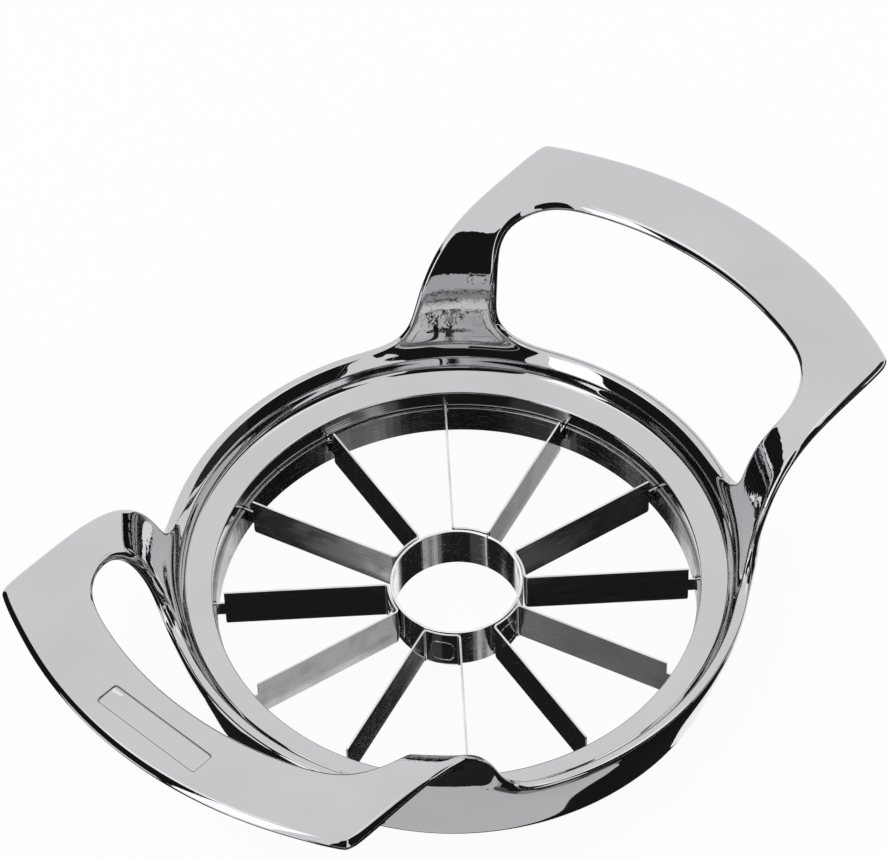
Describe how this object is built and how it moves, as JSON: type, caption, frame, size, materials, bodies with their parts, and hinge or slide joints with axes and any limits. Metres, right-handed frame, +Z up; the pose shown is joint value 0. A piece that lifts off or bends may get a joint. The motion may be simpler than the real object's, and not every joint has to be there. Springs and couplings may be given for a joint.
{
  "type": "pineapple slicer",
  "caption": "Hand fruit slicer: radial blades run from a tubular corer to a round polished frame, with raised open handles on opposite sides to push it down.",
  "frame": {"origin": "centre of the frame's flat underside, where the slicer stands", "axes": "+Z up along the axis of the ring, +X through the middle of one handle, +Y along the handles' width"},
  "size_m": [0.2222, 0.1442, 0.055],
  "materials": {
    "frame": "polished",
    "retaining_ring": "satin",
    "core_ring": "satin",
    "blades": "satin"
  },
  "bodies": {
    "root": {"frame": "frame", "retaining_ring": "retaining_ring", "core_ring": "core_ring", "blade_strip_1": "blades", "blade_strip_2": "blades", "blade_strip_3": "blades", "blade_strip_4": "blades", "blade_strip_5": "blades", "blade_strip_6": "blades"}
  },
  "joints": []
}
